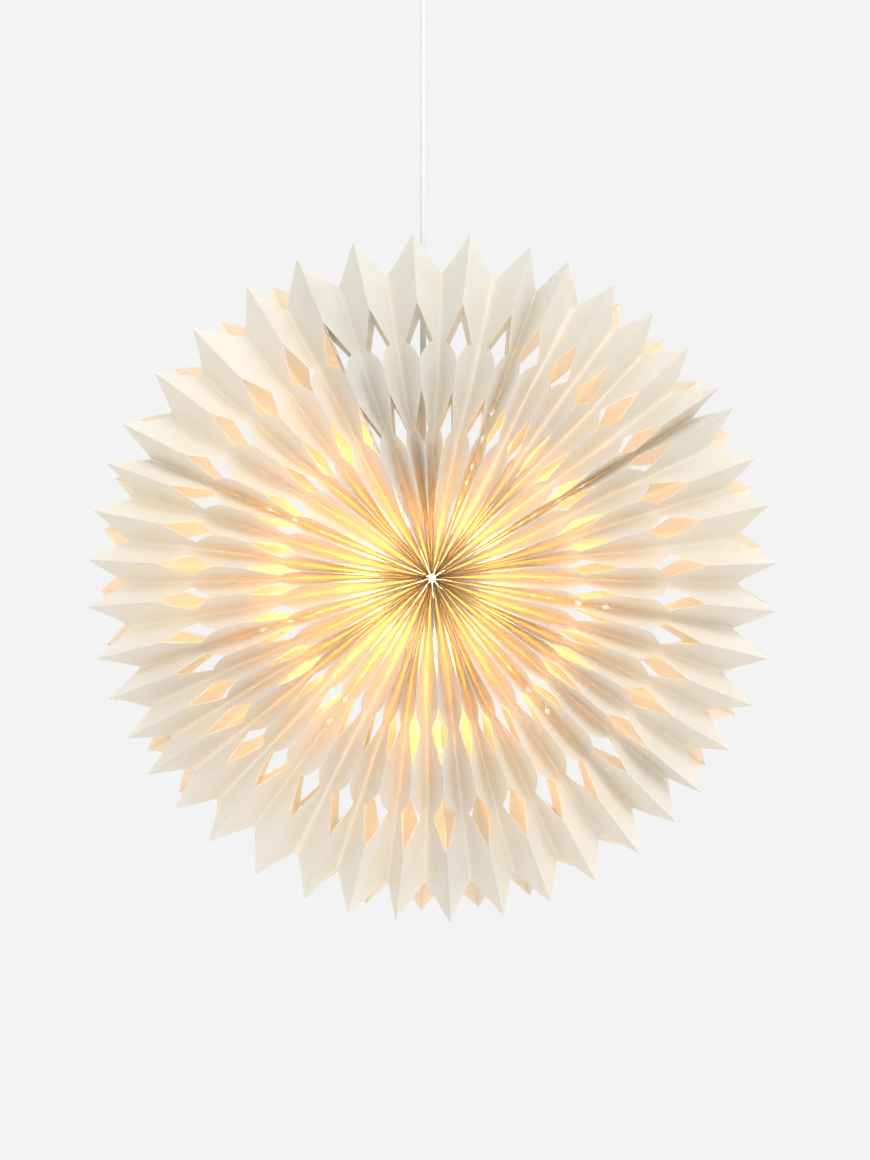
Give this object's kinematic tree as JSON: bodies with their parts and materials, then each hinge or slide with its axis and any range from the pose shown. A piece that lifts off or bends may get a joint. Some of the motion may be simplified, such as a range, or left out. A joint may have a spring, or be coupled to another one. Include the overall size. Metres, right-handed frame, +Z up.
{
  "type": "paper snowflake star",
  "caption": "Hanging paper snowflake star lantern of pleated, notched paper bags fanned into a disc, with lamp holder, bulb, cord and ceiling cup.",
  "frame": {"origin": "middle of the ceiling plate's top face, where the pendant meets the ceiling", "axes": "+Z up, -Y towards the front of the star, +X to the right seen from the front"},
  "size_m": [0.6891, 0.16, 1.0246],
  "materials": {
    "paper": "matt uncoated paper, translucent, lit from within",
    "card": "matt stiff card",
    "fastener_tape": "hook and loop tape",
    "steel_wire": "drawn wire",
    "white_plastic": "satin moulded",
    "insert_plastic": "heat-proof moulding",
    "brass": "stamped",
    "plated_steel": "zinc plated",
    "galvanised_steel": "galvanised",
    "bulb_glass": "opal inside coating",
    "bulb_metal": "rolled thread",
    "bulb_black_glass": "black vitrite",
    "stem_glass": "pressed glass",
    "filament": "lit filament rods",
    "cord_sheath": "smooth round sheath"
  },
  "bodies": {
    "ceiling_fitting": {"ceiling_plate": "galvanised_steel", "cord_clamp": "white_plastic", "clamp_screws": "plated_steel", "terminal_block": "insert_plastic", "terminal_screws": "plated_steel"},
    "cup": {"ceiling_cup": "white_plastic", "cup_grommet": "white_plastic"},
    "cord_line": {"cord": "cord_sheath"},
    "lantern": {"leaf_1": "paper", "end_leaf_right": "card", "seam_loop_pads": "fastener_tape", "front_pleats_9": "paper", "rear_pleats_9": "paper", "star_hanger": "steel_wire", "holder_skirt": "white_plastic", "holder_insert": "insert_plastic", "thread_shell": "brass", "centre_contact": "brass", "holder_cap": "white_plastic", "cord_grip": "white_plastic", "grip_screw": "plated_steel"},
    "shade_ring_body": {"shade_ring": "white_plastic"},
    "bulb": {"bulb_glass": "bulb_glass", "bulb_cap": "bulb_metal", "bulb_insulator": "bulb_black_glass", "bulb_contact": "bulb_metal", "bulb_stem": "stem_glass", "filament": "filament"},
    "bag_1": {"leaf_2": "paper", "front_pleats_1": "paper", "rear_pleats_1": "paper"},
    "bag_2": {"leaf_3": "paper", "front_pleats_2": "paper", "rear_pleats_2": "paper"},
    "bag_3": {"leaf_4": "paper", "front_pleats_3": "paper", "rear_pleats_3": "paper"},
    "bag_4": {"leaf_5": "paper", "front_pleats_4": "paper", "rear_pleats_4": "paper"},
    "bag_5": {"leaf_6": "paper", "front_pleats_5": "paper", "rear_pleats_5": "paper"},
    "bag_6": {"leaf_7": "paper", "front_pleats_6": "paper", "rear_pleats_6": "paper"},
    "bag_7": {"leaf_8": "paper", "front_pleats_7": "paper", "rear_pleats_7": "paper"},
    "bag_8": {"end_leaf_left": "card", "front_pleats_8": "paper", "rear_pleats_8": "paper", "seam_hook_pads": "fastener_tape"}
  },
  "joints": [
    {"name": "cup_slide", "type": "slide", "parent": "ceiling_fitting", "child": "cup", "axis": [0, 0, -1], "range_m": [0, 0.12]},
    {"name": "cord_twist", "type": "hinge", "parent": "ceiling_fitting", "child": "cord_line", "pos_m": [0, 0, 0], "axis": [0, 0, 1], "range_deg": [-180, 180]},
    {"name": "lantern_tilt", "type": "hinge", "parent": "cord_line", "child": "lantern", "pos_m": [0, 0, -0.566], "axis": [1, 0, 0], "range_deg": [-10, 10]},
    {"name": "shade_ring_turn", "type": "hinge", "parent": "lantern", "child": "shade_ring_body", "pos_m": [0, 0, -0.68], "axis": [0, 0, -1], "range_deg": [0, 1080]},
    {"name": "bulb_turn", "type": "hinge", "parent": "lantern", "child": "bulb", "pos_m": [0, 0, -0.68], "axis": [0, 0, -1], "range_deg": [0, 1800]},
    {"name": "fold_1", "type": "hinge", "parent": "lantern", "child": "bag_1", "pos_m": [0.009, 0, -0.68], "axis": [0, -1, 0], "range_deg": [0, 34.5], "deforming": ["front_pleats_1", "rear_pleats_1"]},
    {"name": "fold_2", "type": "hinge", "parent": "bag_1", "child": "bag_2", "pos_m": [0.009, 0, -0.68], "axis": [0, -1, 0], "range_deg": [0, 37.1], "deforming": ["front_pleats_2", "rear_pleats_2"]},
    {"name": "fold_3", "type": "hinge", "parent": "bag_2", "child": "bag_3", "pos_m": [0.009, 0, -0.68], "axis": [0, -1, 0], "range_deg": [0, 35.6], "deforming": ["front_pleats_3", "rear_pleats_3"]},
    {"name": "fold_4", "type": "hinge", "parent": "bag_3", "child": "bag_4", "pos_m": [0.009, 0, -0.68], "axis": [0, -1, 0], "range_deg": [0, 34.1], "deforming": ["front_pleats_4", "rear_pleats_4"]},
    {"name": "fold_5", "type": "hinge", "parent": "bag_4", "child": "bag_5", "pos_m": [0.009, 0, -0.68], "axis": [0, -1, 0], "range_deg": [0, 34.6], "deforming": ["front_pleats_5", "rear_pleats_5"]},
    {"name": "fold_6", "type": "hinge", "parent": "bag_5", "child": "bag_6", "pos_m": [0.009, 0, -0.68], "axis": [0, -1, 0], "range_deg": [0, 33.6], "deforming": ["front_pleats_6", "rear_pleats_6"]},
    {"name": "fold_7", "type": "hinge", "parent": "bag_6", "child": "bag_7", "pos_m": [0.009, 0, -0.68], "axis": [0, -1, 0], "range_deg": [0, 36.1], "deforming": ["front_pleats_7", "rear_pleats_7"]},
    {"name": "fold_8", "type": "hinge", "parent": "bag_7", "child": "bag_8", "pos_m": [0.009, 0, -0.68], "axis": [0, -1, 0], "range_deg": [0, 40.1], "deforming": ["front_pleats_8", "rear_pleats_8"]}
  ],
  "couplings": [
    {"joint": "fold_2", "follows": "fold_1", "ratio": 1.0725},
    {"joint": "fold_3", "follows": "fold_1", "ratio": 1.029},
    {"joint": "fold_4", "follows": "fold_1", "ratio": 0.98551},
    {"joint": "fold_5", "follows": "fold_1", "ratio": 1},
    {"joint": "fold_6", "follows": "fold_1", "ratio": 0.97101},
    {"joint": "fold_7", "follows": "fold_1", "ratio": 1.0435},
    {"joint": "fold_8", "follows": "fold_1", "ratio": 1.1594}
  ]
}
